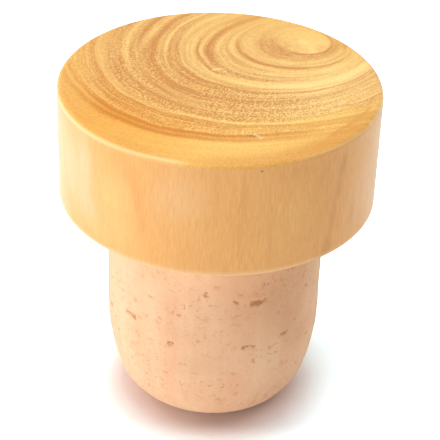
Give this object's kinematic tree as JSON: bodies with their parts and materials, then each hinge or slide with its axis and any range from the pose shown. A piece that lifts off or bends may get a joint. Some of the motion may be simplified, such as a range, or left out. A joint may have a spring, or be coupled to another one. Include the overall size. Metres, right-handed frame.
{
  "type": "wooden bottle stopper",
  "caption": "Bottle stopper: a low turned wooden head glued on a plain cork shank with a rounded end.",
  "frame": {"origin": "centre of the flat end of the cork shank, on the surface that the stopper stands on", "axes": "+Z along the stopper's axis from the shank's end to the head's top; X and Y are any pair across it, with the growth rings' pith towards +X +Y"},
  "size_m": [0.028, 0.028, 0.0315],
  "materials": {
    "boxwood": "satin",
    "cork": "matte"
  },
  "bodies": {
    "root": {"head": "boxwood", "shank": "cork"}
  },
  "joints": []
}
